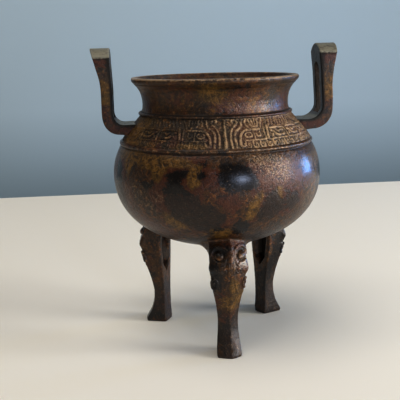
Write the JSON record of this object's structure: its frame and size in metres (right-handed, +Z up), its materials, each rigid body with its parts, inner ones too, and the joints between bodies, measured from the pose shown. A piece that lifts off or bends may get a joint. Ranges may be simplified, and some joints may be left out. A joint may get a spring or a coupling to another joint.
{
  "type": "bronze tripod vessel",
  "caption": "Cast bronze ding: round-bellied tripod vessel with a waisted neck, carved shoulder band, upright loop ears and masked legs.",
  "frame": {"origin": "on the vessel's axis, at the level of the soles of the feet", "axes": "+Z up; the front leg points along -Y; the ears stand on the +X and -X sides"},
  "size_m": [0.1358, 0.117, 0.1647],
  "materials": {
    "bronze": "cast bronze with mottled brown, red-brown and olive patina, worn semi-gloss"
  },
  "bodies": {
    "root": {"ding": "bronze"}
  },
  "joints": []
}
